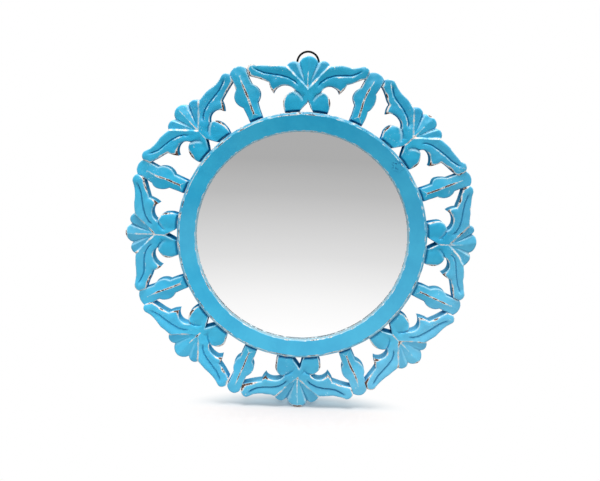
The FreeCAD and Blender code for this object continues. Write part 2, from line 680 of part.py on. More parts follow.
corner_side = "(hanger_radius - hanger_corner)"
corner_height = "hinge_height + hanger_corner"
wire_bend("wire_arch", "hanger_radius", 180, "0; hinge_out; arc_height", "0")
wire_bend("wire_right_corner", "hanger_corner", 90, corner_side + "; hinge_out; " + corner_height, "-90")
wire_bend("wire_left_corner", "hanger_corner", 90, "-" + corner_side + "; hinge_out; " + corner_height, "180")
for word, sign in (("right", ""), ("left", "-")):
    wire_rod("wire_" + word + "_leg", "hanger_leg - hanger_corner",
             sign + "hanger_radius; hinge_out; " + corner_height, about("0; 0; 1", "0"))
wire_rod("wire_bar", "2 * " + corner_side, "-" + corner_side + "; hinge_out; hinge_height",
         about("0; 1; 0", "90"))
loop = doc.addObject("Part::MultiFuse", "hanger_ring")
loop.Shapes = wire
loop.Refine = True
node(loop, "hanger_ring")
doc.recompute()

faults = [thing.Label for thing in doc.Objects if "Invalid" in thing.State or "Error" in thing.State]
if faults:
    raise RuntimeError("not valid: " + ", ".join(faults))
os.makedirs("parts", exist_ok=True)
for thing in nodes:
    shape = thing.Shape
    if shape.isNull() or not shape.isValid() or not shape.Solids:
        raise RuntimeError(thing.Label + " has no valid solid")
    shape.exportStep("parts/%s.step" % thing.Label)
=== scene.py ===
import math

import bpy
import numpy as np
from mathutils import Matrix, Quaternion, Vector
from mathutils.geometry import delaunay_2d_cdt


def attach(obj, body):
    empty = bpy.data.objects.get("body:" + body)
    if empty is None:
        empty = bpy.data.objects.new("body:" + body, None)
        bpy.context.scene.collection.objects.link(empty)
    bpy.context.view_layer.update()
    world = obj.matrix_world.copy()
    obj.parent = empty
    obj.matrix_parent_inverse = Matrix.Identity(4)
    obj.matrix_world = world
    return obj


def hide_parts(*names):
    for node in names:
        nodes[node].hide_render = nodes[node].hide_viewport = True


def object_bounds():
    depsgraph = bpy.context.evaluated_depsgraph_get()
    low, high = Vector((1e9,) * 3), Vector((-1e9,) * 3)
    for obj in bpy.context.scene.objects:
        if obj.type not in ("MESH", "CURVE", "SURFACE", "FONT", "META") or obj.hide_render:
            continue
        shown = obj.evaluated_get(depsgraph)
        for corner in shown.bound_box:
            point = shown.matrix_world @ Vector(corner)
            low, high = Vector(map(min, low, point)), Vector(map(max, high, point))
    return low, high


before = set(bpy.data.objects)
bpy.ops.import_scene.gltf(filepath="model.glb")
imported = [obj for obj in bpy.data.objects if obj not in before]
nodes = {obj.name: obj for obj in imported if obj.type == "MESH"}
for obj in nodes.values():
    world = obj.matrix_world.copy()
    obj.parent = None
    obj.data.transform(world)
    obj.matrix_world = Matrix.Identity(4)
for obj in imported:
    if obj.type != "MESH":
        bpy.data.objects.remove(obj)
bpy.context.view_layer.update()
scene = bpy.context.scene
scene.view_settings.view_transform = "Standard"
print("frame loaded:", len(nodes), "nodes")


class Wire:
    # a shader socket: sums on it add Math nodes, and node() adds any other kind
    def __init__(self, tree, socket=None):
        self.tree = tree
        self.socket = socket

    def node(self, kind, settings=None, sockets=None, out=0):
        made = self.tree.nodes.new("ShaderNode" + kind)
        for name, value in (settings or {}).items():
            if name == "stops":
                self.setStops(made.color_ramp, value)
            else:
                setattr(made, name, value)
        for name, value in (sockets or {}).items():
            if isinstance(value, Wire):
                self.tree.links.new(value.socket, made.inputs[name])
            else:
                made.inputs[name].default_value = value
        return Wire(self.tree, made.outputs[out] if made.outputs else None)

    def setStops(self, ramp, stops):
        while len(ramp.elements) < len(stops):
            ramp.elements.new(1.0)
        for element, (place, grey) in zip(ramp.elements, stops):
            element.position = place
            element.color = (grey, grey, grey, 1)

    def out(self, name):
        return Wire(self.tree, self.socket.node.outputs[name])

    def maths(self, operation, first, second=0.0):
        return self.node("Math", {"operation": operation}, {0: first, 1: second})

    def vectors(self, operation, sockets, out=0):
        return self.node("VectorMath", {"operation": operation}, sockets, out)

    def __add__(self, other):
        return self.maths("ADD", self, other)

    __radd__ = __add__

    def __sub__(self, other):
        return self.maths("SUBTRACT", self, other)

    def __rsub__(self, other):
        return self.maths("SUBTRACT", other, self)

    def __mul__(self, other):
        return self.maths("MULTIPLY", self, other)

    __rmul__ = __mul__

    def rise(self, low, high):  # 0 below low, 1 above high
        return self.node("MapRange", {"interpolation_type": "SMOOTHSTEP"},
                         {"Value": self, "From Min": low, "From Max": high})

    def blend(self, first, second):  # colours mixed by this value
        return self.node("Mix", {"data_type": "RGBA"}, {0: self, 6: first, 7: second}, out=2)

    def noise(self, place, scale, detail=3.0, roughness=0.55):
        return self.node("TexNoise", {}, {"Vector": place, "Scale": scale, "Detail": detail,
                                          "Roughness": roughness})


def newFinish(name):
    finish = bpy.data.materials.new(name)
    finish.use_nodes = True
    finish.node_tree.nodes.clear()
    return finish, Wire(finish.node_tree)


def closeFinish(wire, sockets):
    shader = wire.node("BsdfPrincipled", {}, sockets)
    wire.node("OutputMaterial", {}, {"Surface": shader})


def rgb(red, green, blue):
    return (red, green, blue, 1.0)


# Finishes

paint = {
    "blue": rgb(0.006, 0.35, 0.60),
    "lightBlue": rgb(0.018, 0.41, 0.655),
    # deep blue: painted shade in grooves, veins, feet, walls, down-facing rims and the corner at the glass,
    # and the colour of the pits and the scuff
    "deepBlue": rgb(0.001, 0.09, 0.27),
    # pale blue: worn pale paint, painted highlights on rims and flanks, and the painted light low on the
    # mirror
    "paleBlue": rgb(0.48, 0.74, 0.85),
    "primer": rgb(0.80, 0.74, 0.70),
    "dusty": rgb(0.25, 0.36, 0.40),  # thin paint over primer, on the ring's slopes and on walls that face up
    "wood": rgb(0.105, 0.05, 0.035),
    "scuff": (0.119, -0.0195, 0.1005),  # a scraped place on the ring
    "brush": (1500.0, 14.0, 300.0),  # how closely brush marks lie: outwards, round the mirror and in depth
    "gloss": 0.5,  # a thin glossy skin, on the carved faces only
    # painted light: how much paler the paint is drawn low down, beside the middle, away from the ring and
    # low on the right
    "fade": 0.11,
    "sideLight": 0.022,
    "outerLight": 0.07,
    "rightLight": 0.04,
    # how much of that is missing low on the left, high on the left and at the feet of the upper carvings
    "lowLeftSpared": 0.45,
    "upLeftSpared": 0.55,
    "feetSpared": 0.5,
    # painted light and shade: how much lighter the blue is low down at both sides, on the left and at the
    # top
    "lowLight": 0.20,
    "leftLight": 0.07,
    "topShade": -0.13,
}


def blueWithPaintedLight(wire, x, z, far, mottle):
    # painted light: the blue is drawn paler and lighter low down, beside the middle and on the left, and
    # darker at the top, over a random mottle
    blue = mottle.rise(0.34, 0.66).blend(paint["blue"], paint["lightBlue"])
    outer = far.rise(0.180, 0.215) * z.rise(0.20, 0.05)
    aside = wire.maths("ABSOLUTE", x).rise(0.02, 0.10)
    low = z.rise(0.03, -0.12) * aside * far.rise(0.172, 0.20)
    lowLeft = x.rise(-0.02, -0.12) * z.rise(0.0, -0.06)
    upLeft = x.rise(-0.06, -0.14) * z.rise(0.01, 0.06) * z.rise(0.17, 0.11)
    feet = far.rise(0.205, 0.185) * far.rise(0.162, 0.166) * z.rise(-0.06, 0.0)
    paledByPaintedLight = z.rise(0.30, -0.22) * paint["fade"] + aside * paint["sideLight"] + outer * paint["outerLight"]
    paledByPaintedLight = paledByPaintedLight * (1 - lowLeft * paint["lowLeftSpared"] - upLeft * paint["upLeftSpared"])
    paledByPaintedLight = paledByPaintedLight + low * x.rise(0.0, 0.1) * paint["rightLight"]
    paledByPaintedLight = paledByPaintedLight * (1 - feet * paint["feetSpared"])
    blue = paledByPaintedLight.blend(blue, paint["paleBlue"])
    lightScale = 1 + low * paint["lowLight"] + x.rise(-0.02, -0.18) * paint["leftLight"]
    lightScale = lightScale + z.rise(0.15, 0.205) * paint["topShade"]
    return wire.vectors("SCALE", {0: blue, "Scale": lightScale})


def turquoisePaint():
    finish, wire = newFinish("turquoise_paint")
    place = wire.node("TexCoord", out="Object")
    fields = ("rub", "hollow", "polish", "primed", "lip")
    rub, hollow, polish, primed, lip = [wire.node("Attribute", {"attribute_name": field}, out="Fac")
                                        for field in fields]
    cloud = wire.noise(place, 26.0)
    dash = wire.noise(place, 170.0, 2.0)
    fine = wire.noise(place, 850.0, 3.0, 0.6)
    grit = wire.noise(place, 420.0, 3.0, 0.6)
    parts = wire.node("SeparateXYZ", {}, {0: place})
    x, y, z = [parts.out(axis) for axis in "XYZ"]
    far = wire.maths("SQRT", x * x + z * z)
    turn = wire.maths("ARCTAN2", z, x)
    outwards, around, inDepth = paint["brush"]
    brushed = wire.node("CombineXYZ", {}, {"X": far * outwards, "Y": turn * around, "Z": y * inDepth})
    stroke = wire.noise(brushed, 1.0, 3.0)
    # rubbed places show pale paint first, then primer, then wood; the same pale blue also draws painted
    # highlights
    chips = wire.noise(place, 560.0, 2.0).rise(0.62, 0.68) * wire.noise(place, 44.0).rise(0.48, 0.62)
    chips = chips * far.rise(0.161, 0.166)  # on the carvings only
    field = rub + (dash - 0.5) * 0.9 + (fine - 0.5) * 0.6 + chips * 0.5
    # pale where rubbed, and painted highlights where the pieces carry them
    pale = wire.maths("MAXIMUM", field.rise(0.26, 0.62), lip + (fine - 0.5) * lip * 0.6)
    bare = field.rise(0.60, 0.70)
    wood = (rub + (grit - 0.5) * 1.6).rise(0.84, 0.96) * bare
    blue = blueWithPaintedLight(wire, x, z, far, cloud * 0.8 + dash * 0.2)
    # painted shade, where the pieces carry it
    blue = (hollow * 0.9).blend(blue, paint["deepBlue"])
    blue = (pale * 0.8).blend(blue, paint["paleBlue"])
    blue = (primed + (fine - 0.5) * primed * 0.6).blend(blue, paint["dusty"])
    # small pits in the ring's outer slope, and the scuff
    onSlope = far.rise(0.158, 0.160) * far.rise(0.1655, 0.1645)
    pits = grit.rise(0.58, 0.66) * primed.rise(0.1, 0.25) * onSlope
    fromScuff = wire.vectors("DISTANCE", {0: place, 1: paint["scuff"]}, "Value")
    scuffed = fromScuff.rise(0.011, 0.005) * dash.rise(0.50, 0.525) * dash.rise(0.58, 0.555)
    blue = (wire.maths("MAXIMUM", pits, scuffed) * 0.8).blend(blue, paint["deepBlue"])
    colour = bare.blend(blue, paint["primer"])
    colour = wood.blend(colour, paint["wood"])
    height = stroke * 0.35 + fine * 0.25 - bare * 0.9 - wood * 0.6
    bump = wire.node("Bump", {}, {"Strength": 0.5, "Distance": 0.00022, "Height": height})
    rough = 0.55 + bare * 0.2 + (cloud - 0.5) * 0.12
    coat = polish * (1 - bare * 0.8) * paint["gloss"]
    closeFinish(wire, {"Base Color": colour, "Roughness": rough, "Normal": bump, "Specular IOR Level": 0.0,
                       "Coat Weight": coat, "Coat Roughness": 0.36})
    return finish


def silveredGlass():
    finish, wire = newFinish("silvered_glass")
    place = wire.node("TexCoord", out="Object")
    dust = wire.noise(place, 900.0, 2.0).rise(0.66, 0.80)
    haze = wire.noise(place, 9.0, 2.0)
    closeFinish(wire, {"Base Color": rgb(0.967, 0.964, 0.963), "Metallic": 1.0,
                       "Roughness": 0.012 + haze * 0.012 + dust * 0.02})
    return finish


def grainyFinish(name, light, dark, stretch, rough, bumpDepth, metal=0.0, shine=0.5):
    # streaks along stretch's small axis, for board, card, bare wood and plated steel
    finish, wire = newFinish(name)
    place = wire.node("TexCoord", out="Object")
    drawn = wire.vectors("MULTIPLY", {0: place, 1: stretch})
    streak = wire.noise(drawn, 1.0, 4.0, 0.62)
    speck = wire.noise(place, 1600.0, 2.0)
    cloud = wire.noise(place, 17.0, 4.0, 0.6)
    colour = (streak * 0.45 + speck * 0.2 + cloud * 0.35).rise(0.36, 0.64).blend(light, dark)
    height = streak * 0.6 + speck * 0.4
    bump = wire.node("Bump", {}, {"Strength": 0.4, "Distance": bumpDepth, "Height": height})
    roughness = rough + (streak - 0.5) * 0.2 + (cloud - 0.5) * 0.2
    closeFinish(wire, {"Base Color": colour, "Roughness": roughness, "Metallic": metal,
                       "Specular IOR Level": shine, "Normal": bump})
    return finish


plainLooks = {
    "hardboard": {"light": rgb(0.27, 0.16, 0.085), "dark": rgb(0.16, 0.085, 0.042),
                  "stretch": (500, 500, 500), "rough": 0.72, "bumpDepth": 0.0002},
    "grey_card": {"light": rgb(0.44, 0.41, 0.36), "dark": rgb(0.33, 0.30, 0.26),
                  "stretch": (700, 700, 700), "rough": 0.85, "bumpDepth": 0.0001},
    "bare_beech": {"light": rgb(0.62, 0.42, 0.24), "dark": rgb(0.44, 0.26, 0.13),
                   "stretch": (900, 900, 120), "rough": 0.62, "bumpDepth": 0.0001},
    "zinc_steel": {"light": rgb(0.66, 0.66, 0.63), "dark": rgb(0.48, 0.48, 0.47),
                   "stretch": (900, 900, 900), "rough": 0.34, "bumpDepth": 0.00005, "metal": 1.0},
    "black_enamel": {"light": rgb(0.006, 0.006, 0.007), "dark": rgb(0.003, 0.003, 0.003),
                     "stretch": (700, 700, 700), "rough": 0.4, "bumpDepth": 0.00005, "shine": 0.05},
}
paintFinish = turquoisePaint()
finishes = {"silvered_glass": silveredGlass()}
for name, look in plainLooks.items():
    finishes[name] = grainyFinish(name, **look)
print("finishes made:", len(finishes) + 1)


# Flat drawing, in millimetres
# u is across a piece, w the same for both halves, v out from the mirror's centre and d up from the back
# r is the distance from the centre, and t the place along a line, from 0 to 1

ringEdge = 163  # the ring's outer radius, where the carvings stand
drawing = {
    "outlineStep": 0.95,  # between points on an outline
    "lineStep": 0.9,  # on a cut or a ridge
    "spacing": 1.15,  # and inside
    "rimRows": (0.12, 0.4, 0.85, 1.5),  # rows of points this far inside an outline
}


def smooth(low, high, value):
    t = np.clip((value - low) / (high - low), 0, 1)
    return t * t * (3 - 2 * t)


def arcPoints(a, mid, b, step):
    # points from a up to b, without b, on the arc through mid or on a straight line
    a, b = np.array(a, float), np.array(b, float)
    if mid is None:
        count = max(1, round(float(np.hypot(*(b - a))) / step))
        return [a + (b - a) * k / count for k in range(count)]
    m = np.array(mid, float)
    (ax, ay), (mx, my), (bx, by) = a, m, b
    k = 2 * (ax * (my - by) + mx * (by - ay) + bx * (ay - my))
    aa, mm, bb = a @ a, m @ m, b @ b
    cx = (aa * (my - by) + mm * (by - ay) + bb * (ay - my)) / k
    cy = (aa * (bx - mx) + mm * (ax - bx) + bb * (mx - ax)) / k
    first = math.atan2(ay - cy, ax - cx)
    full = 2 * math.pi
    half = (math.atan2(my - cy, mx - cx) - first + math.pi) % full - math.pi
    rest = (math.atan2(by - cy, bx - cx) - first - half + math.pi) % full - math.pi
    radius = math.hypot(ax - cx, ay - cy)
    count = max(2, round(abs(half + rest) * radius / step))
    turns = [first + (half + rest) * k / count for k in range(count)]
    return [np.array([cx + radius * math.cos(t), cy + radius * math.sin(t)]) for t in turns]


def closedOutline(half, crown, base=None):
    # the right half's corners, each with the middle of the arc that leaves it, and the same on the left
    def flip(p):
        return None if p is None else (-p[0], p[1])
    runs = [(a, mid, b) for (a, mid), (b, _) in zip(half, half[1:])]
    last, first = half[-1][0], half[0][0]
    back = [(flip(b), flip(mid), flip(a)) for a, mid, b in reversed(runs)]
    loop = runs + [(last, crown, flip(last))] + back
    if base is not None:
        loop.append((flip(first), base, first))
    return np.array([p for run in loop for p in arcPoints(*run, drawing["outlineStep"])])


def nearest(line, points):
    # how far each point is from a line, on which side (1 is left), and how far along it
    a, d = line[:-1], line[1:] - line[:-1]
    length = np.hypot(d[:, 0], d[:, 1])
    start = np.cumsum(length) - length
    rel = points[:, None] - a[None]
    t = np.clip((rel * d).sum(2) / length ** 2, 0, 1)
    off = rel - t[..., None] * d
    gap = np.hypot(off[..., 0], off[..., 1])
    i = gap.argmin(1)
    row = np.arange(len(points))
    side = np.where(d[i, 0] * rel[row, i, 1] - d[i, 1] * rel[row, i, 0] >= 0, 1.0, -1.0)
    return gap[row, i], side, (start[i] + t[row, i] * length[i]) / length.sum()


def waves(seed, points, size, count=10):
    # soft seeded unevenness, about -1 to 1, with bumps of the given size
    dice = np.random.default_rng(seed)
    total = np.zeros(len(points))
    for _ in range(count):
        way = dice.uniform(0, 2 * math.pi)
        pitch = 2 * math.pi / (size * dice.uniform(0.7, 1.6))
        along = points[:, 0] * math.cos(way) + points[:, 1] * math.sin(way)
        total += np.sin(along * pitch + dice.uniform(0, 6.3))
    return total * math.sqrt(2 / count) * 0.7


def divided(points, step=drawing["lineStep"]):
    points = np.array(points, float)
    made = [p for a, b in zip(points, points[1:]) for p in arcPoints(a, None, b, step)]
    return np.array(made + [points[-1]])


def leftOf(step):
    return np.stack([-step[:, 1], step[:, 0]], 1) / np.hypot(step[:, 0], step[:, 1])[:, None]


def beside(line, gap):
    # the line moved sideways, to the left where gap is above 0
    return line + leftOf(np.gradient(line, axis=0)) * gap


def mirroredLines(lines):
    return lines + [line * (-1, 1) for line in lines if np.abs(line[:, 0]).max() > 0.01]


class Plan:
    # a carved piece's face seen flat: its points, its triangles and its rim
    def __init__(self, outline, lines, seed):
        dice = np.random.default_rng(seed)
        spacing, insets = drawing["spacing"], drawing["rimRows"]
        closed = np.vstack([outline, outline[:1]])
        inward = leftOf(np.roll(outline, -1, 0) - np.roll(outline, 1, 0))
        rows = []
        for inset in insets:
            row = outline + inward * inset
            rows.append(row[nearest(closed, row)[0] > inset * 0.93])  # not where a corner folds it back
        low, high = outline.min(0), outline.max(0)
        across = np.arange(low[0], high[0], spacing)
        outward = np.arange(low[1], high[1], spacing * 0.87)
        grid = [(u + spacing * 0.5 * (k % 2), v) for k, v in enumerate(outward) for u in across]
        grid = np.array(grid) + dice.uniform(-0.12, 0.12, (len(grid), 2)) * spacing
        gap, side, _ = nearest(closed, grid)
        grid = grid[(side > 0) & (gap > insets[-1] + spacing * 0.55)]
        loose = np.vstack(rows + [grid])
        for line in lines:
            loose = loose[nearest(line, loose)[0] > spacing * 0.33]
        points = [tuple(p) for p in outline]
        edges = [(k, (k + 1) % len(outline)) for k in range(len(outline))]
        for line in lines:
            gap, side, _ = nearest(closed, line)
            kept = line[(gap > 0.05) & (side > 0)]
            edges += [(len(points) + k, len(points) + k + 1) for k in range(len(kept) - 1)]
            points += [tuple(p) for p in kept]
        points += [tuple(p) for p in loose]
        verts, _, faces, _, _, _ = delaunay_2d_cdt([Vector(p) for p in points], edges, [], 1, 1e-4)
        self.points = np.array([tuple(p) for p in verts])
        self.faces = [tuple(f) for f in faces]
        self.rim = self.walkRim()
        self.edgeGap = nearest(closed, self.points)[0]
        self.edgeGap[self.rim] = 0
        around = self.points[self.rim]
        self.nearRim = np.array([np.hypot(*(around - p).T).argmin() for p in self.points])

    def walkRim(self):
        # an edge that only one triangle has lies on the rim
        seen = dict.fromkeys(pair for face in self.faces for pair in zip(face, face[1:] + face[:1]))
        follow = {a: b for a, b in seen if (b, a) not in seen}
        start = next(iter(follow))
        rim = [start]
        while follow[rim[-1]] != start:
            rim.append(follow[rim[-1]])
        return np.array(rim)


def worn(amount, gap, reach):
    # rubbed fully beside a line or rim, and not at all past reach
    return amount * smooth(reach, 0.3 * reach, gap)


def patchy(wear, seed, points):
    much, spread, size = wear
    return much + spread * waves(seed, points, size)


def roundedDrop(gap, radius):
    inside = np.clip(radius - gap, 0, None)
    return radius - np.sqrt(np.clip(radius ** 2 - inside ** 2, 0, None))


carving = {
    "drift": 0.35,  # how far soft waves move an outline
    "moveReach": 13,  # how far a moved place pulls its surroundings
    "chisel": 0.10,  # how uneven the chisel left faces and walls
    "wallRows": (0.965, 0.92, 0.86, 0.6, 0.25, 0.035, 0.0),  # points down a wall, by share of its height
    "backInset": 0.5,  # how far the back's edge is eased
    "paleRim": (0.1, 0.64),  # pale paint on every rim, partly worn and partly a painted highlight, and more painted highlight where the rim faces up
    "rimShade": 0.65,  # painted shade where the rim faces down
    "thinPaint": (0.04, 0.16),  # thin paint on every wall, and more where it faces up
    "wallShade": (0.18, 0.74),  # painted shade on every wall, and more in narrow places
}


def handMoved(points, moves, seed):
    # no two copies are cut alike: soft waves, and moves of single places
    r = np.hypot(points[:, 0], points[:, 1])
    shift = np.stack([waves(seed, points, 34.0), waves(seed + 1, points, 34.0)], 1) * carving["drift"]
    total = np.zeros(len(points))
    pull = np.zeros((len(points), 2))
    for u, v, right, out in moves:
        near = np.exp(-((points[:, 0] - u) ** 2 + (points[:, 1] - v) ** 2) / carving["moveReach"] ** 2)
        total = total + near
        pull = pull + near[:, None] * (right, out)
    shift = shift + pull / np.maximum(total, 1)[:, None]
    return points + shift * smooth(ringEdge + 1, ringEdge + 13, r)[:, None]


def carvedPiece(name, plan, relief, moves, wear, lean, angle, seed):
    # the carved face, its walls and its flat back, at its place round the mirror
    points, rim, edgeGap = plan.points, plan.rim, plan.edgeGap
    heights = relief + carving["chisel"] * waves(seed + 5, points, 11.0) * np.clip(edgeGap / 2, 0, 1)
    moved = handMoved(points, moves, seed + 8)
    top, flat = heights[rim], moved[rim]
    inward = leftOf(np.roll(flat, -1, 0) - np.roll(flat, 1, 0))
    facing = inward[:, 0] * math.sin(angle) - inward[:, 1] * math.cos(angle)
    up, down = np.clip(facing, 0, 1), np.clip(-facing, 0, 1)
    count, wide = len(points), len(rim)
    # paint on the face: pale rims, partly worn and partly a painted highlight where they face up, and
    # painted shade where they face down
    always, upward = carving["paleRim"]
    lip = 0.4 + 0.6 * smooth(*wear["paleFrom"], points[:, 1])
    lip = lip * smooth(ringEdge + 3, ringEdge + 7, np.hypot(points[:, 0], points[:, 1]))
    lip = lip * (always + upward * up[plan.nearRim]) * smooth(2.0, 0.6, edgeGap)
    lip = np.maximum(lip, wear["paintedHighlight"])
    # painted shade on rims that face down
    shade = np.maximum(wear["hollow"], carving["rimShade"] * down[plan.nearRim] * smooth(1.9, 0.4, edgeGap))
    reach = 0.9 + 3.0 * np.clip(wear["rim"], 0, 1.1) ** 2
    rub = np.maximum(wear["lines"], worn(wear["rim"], edgeGap, reach))
    fields = {"rub": [rub], "hollow": [shade], "polish": [np.ones(count)], "primed": [np.zeros(count)],
              "lip": [lip]}
    # the walls, row by row, and the paint on them, with painted shade that grows deeper down and in narrow
    # places
    uv, d = [moved], [heights]
    thin, thinUp = carving["thinPaint"]
    dark, darkNarrow = carving["wallShade"]
    backRub = 0.30 + 0.25 * waves(seed + 9, flat, 18.0)
    for k, level in enumerate(carving["wallRows"]):
        chisel = waves(seed + k, np.stack([flat.sum(1) * 3, flat[:, 1]], 1), 9.0) * carving["chisel"]
        inset = carving["backInset"] if level == 0 else np.clip(chisel, 0, None)
        uv.append(flat + inward * (inset - lean * (1 - level))[:, None])
        d.append(top * level)
        deep = top * (1 - level)
        onBack = smooth(0.05, 0.03, level)
        backShare = 0.4 if level == 0 else 1.0  # the back is less rubbed than its edge
        fields["rub"].append(worn(wear["rim"][rim], deep, 0.9) + backRub * onBack * backShare)
        fields["hollow"].append((dark + darkNarrow * wear["narrow"]) * smooth(0.3, 5, deep) * (1 - onBack))
        fields["polish"].append(np.zeros(wide))
        fields["primed"].append((thinUp * up + thin) * (1 - wear["narrow"]) * smooth(0, 1.5, deep))
        fields["lip"].append(lip[rim] * smooth(1.2, 0.2, deep))
    uv, d = np.vstack(uv), np.concatenate(d)
    s, c = math.sin(angle), math.cos(angle)
    world = np.stack([uv[:, 0] * c + uv[:, 1] * s, -d, uv[:, 1] * c - uv[:, 0] * s], 1) / 1000
    faces = list(plan.faces)
    before = list(rim)
    for k in range(len(carving["wallRows"])):
        row = list(range(count + k * wide, count + (k + 1) * wide))
        for j in range(wide):
            n = (j + 1) % wide
            faces.append((before[j], row[j], row[n], before[n]))
        before = row
    faces.append(tuple(reversed(before)))
    return makePiece(name, world, faces, fields)


def makePiece(name, points, faces, fields):
    crease = math.radians(30)
    mesh = bpy.data.meshes.new(name)
    mesh.from_pydata(points.tolist(), [], faces)
    mesh.validate()
    mesh.shade_smooth()
    mesh.set_sharp_from_angle(angle=crease)
    for field, parts in fields.items():
        values = np.concatenate(parts).astype(np.float32)
        mesh.attributes.new(field, "FLOAT", "POINT").data.foreach_set("value", values)
    piece = bpy.data.objects.new(name, mesh)
    scene.collection.objects.link(piece)
    return piece


def dress(piece, node, finish):
    piece.data.materials.append(finish)
    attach(piece, "frame")
    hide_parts(node)


# Carved flowers: two knobs on the ring, a pair of leaves and a fan of three petals

flower = {
    "count": 8,
    "outline": [
        ((0, 177.8), None),  # top of the gap between the knobs
        ((8.5, 162.78), (17.5, 162.06)),  # foot
        ((26.5, 160.83), (28.75, 167.4)),
        ((29.5, 174), (25.66, 183.8)),  # knob
        ((17.5, 188), (25.9, 194.6)),  # notch
        ((40.8, 186), (45.4, 192.15)),  # barb
        ((48, 198.3), (61, 201.95)),  # heel
        ((74, 204.8), None),  # leaf end
        ((77.4, 213.1), (74.65, 218)),
        ((69, 220), (55.5, 217.6)),  # crest
        ((42, 218.3), (34.5, 217.85)),
        ((27, 217), (20.5, 223.65)),  # fan corner
        ((12, 221.7), None),
    ],
    "crown": (0, 230.7),
    "vein": [(12, 194), (17, 200), (24, 204), (34, 206.5), (44, 207.7), (54, 209), (63, 212.3), (69, 215.5)],
    # the vein's sides: width of the steep part, its share of the depth, and reach of the gentle rest
    "veinUpper": (0.6, 0.45, 10),
    "veinLower": (1.7, 0.8, 8),
    "border": [(0, 190.5), (27, 217)],
    "bevel": 1.9,  # width of the border's slope
    "petalLines": (0.31, 0.385, 0.50),  # middle petal's edge, cut and side petal's crease, across by out
    "petalStart": 196,
    "petalEnd": 222.5,
    "knobCut": [(17.5, 188), (12.5, 185.8), (8, 182), (5.5, 177.5)],
    "ridge": [(0, 191), (0, 214)],
    "gapLean": 0.5,  # how much narrower the gap between the knobs is at the back
    "ridgeRuns": [  # where the worn ridge of each flower starts and ends
        (191, 214), (179, 212), (180, 216), (179, 218), (190, 234), (187, 208), (179, 233), (179, 226)],
    "fanCuts": (1.0, 1.0, 0.8, 0.4, 0.9, 0.35, 0.75, 1.0),  # how deep each flower's fan is cut
    "veinShades": (0.95, 0.8, 0.45, 0.65, 0.95, 0.45, 0.65, 0.85),  # and how dark the painted shade lies in its veins
    "face": 19.7,
    "leafDroop": 0.9,  # how much lower a leaf lies at its end
    "edgeDroop": 0.9,  # and along its edge
    "veinDepth": 2.4,
    "knobMiddle": (17.5, 174.5),
    "knobRadius": 14,
    "knobDrop": (0.3, 0.9),  # how much lower a knob's middle lies, and how much more its edge
    "knobDepth": 2.2,
    "fanFace": 17.7,
    "fanDroop": 0.0016,
    "middlePetal": (0.95, 0.17),  # height of its ridge and fall to its sides
    "petalDepth": 3.6,
    "borderFall": 1.15,
    "foot": (12.5, 2.2),  # height at the ring, and rise away from it
    "rounding": (0.9, 2.6),  # of the leaves' edges and of the fan's
    "wear": {  # how much each is rubbed, how much that varies, and the size of the patches
        "border": (0.61, 0.22, 14.0), "petals": (0.44, 0.16, 12.0), "ridge": (0.95, 0.18, 10.0),
        "vein": (0.50, 0.14, 16.0), "rim": (0.36, 0.17, 16.0),
    },
    "knobCutWear": 0.5,
    "rubs": [  # worn places on the rim: u, v, reach and how much
        (62, 202, 13, 0.30), (42, 188, 7, 0.50), (76, 209, 6, 0.25), (29, 174, 9, 0.46),
        (40, 218, 14, 0.1), (72, 219, 6, 0.15), (0, 230, 7, 0.1),
    ],
    "spots": {  # places worn on one flower only
        0: [(-74, 209, 8, 0.38)], 1: [(-7, 228, 5, 0.5)], 3: [(74, 209, 9, 0.40), (2, 230, 5, 0.7)],
        4: [(0, 230.7, 6, 1.3), (70, 206, 9, 0.40)], 6: [(0, 230.7, 5, 0.6)],
    },
    "paleFrom": (212, 204),  # rims are paler and more worn inwards of here
    "moves": [  # places cut differently on each flower: u, v, then how far right and out
        [(0, 230, 0.5, 0), (-12, 222, 1, 0.5), (12, 222, 2, 1.5), (27, 217, 0.5, 1.5), (42, 218, -0.5, 3),
         (-74, 205, 2, -0.5), (74, 205, -0.5, 1), (48, 198, 2, -1), (-41, 186, -0.5, -1), (41, 186, -1.5, 0),
         (-17, 188, 2, 0.5), (0, 178, 2, -1)],
        [(0, 230, 0.5, -4), (12, 222, -1.5, -0.5), (27, 217, -1, -0.5), (-69, 220, 1.5, 1),
         (-48, 198, -2, -1.5), (-41, 186, -4.5, 0), (-29, 174, -3, 0), (37, 187, 0, -3),
         (70, 205, 2.5, -2.5)],
        [(0, 230, -3, -2.5), (27, 217, 1.5, -4), (42, 218, 1, -3.5), (70, 220, -2, -2), (74, 205, -1, -1),
         (-69, 220, 0, -2), (-42, 218, 0.5, -1.5), (-41, 186, -3, 0)],
        [(0, 230, 0, 3), (20, 222, 0, 3), (-45, 218, 0, 1.5), (-70, 220, 0, 1.5), (60, 218, 0, 1),
         (-41, 186, 0, -2.5)],
        [(0, 230, -1.5, 6), (22, 222, 3.5, 4.5), (-15, 225, -2.5, 8), (-28, 216, -6, 0.5), (41, 186, 1.5, 5),
         (70, 220, -0.5, 3.5), (-70, 220, 0, 2), (-43, 217, 0, 0), (17, 188, 1, 2.5), (0, 178, -3, 1.5),
         (-30, 178, -2, 0)],
        [(0, 230, -2.5, 3.5), (20, 222, 0, 2.5), (-19, 222, -1.5, 2), (45, 218, 0, 2), (72, 219, 1, 1),
         (-70, 220, -1.5, 3.5), (-48, 216, 0, 1.5), (-30, 176, -4.5, 2), (-41, 186, -4.5, 4.5),
         (-17, 188, -2.5, 1)],
        [(-41, 186, -2, -2), (-28, 174, -1.5, 0), (-55, 200, 0, -3)],
        [],
    ],
}
heart = flower["border"][0][1]  # the fan spreads from here


def veinFall(gap, width, share, reach):
    return share * np.clip(1 - gap / width, 0, 1) + (1 - share) * np.clip(1 - gap / reach, 0, 1)


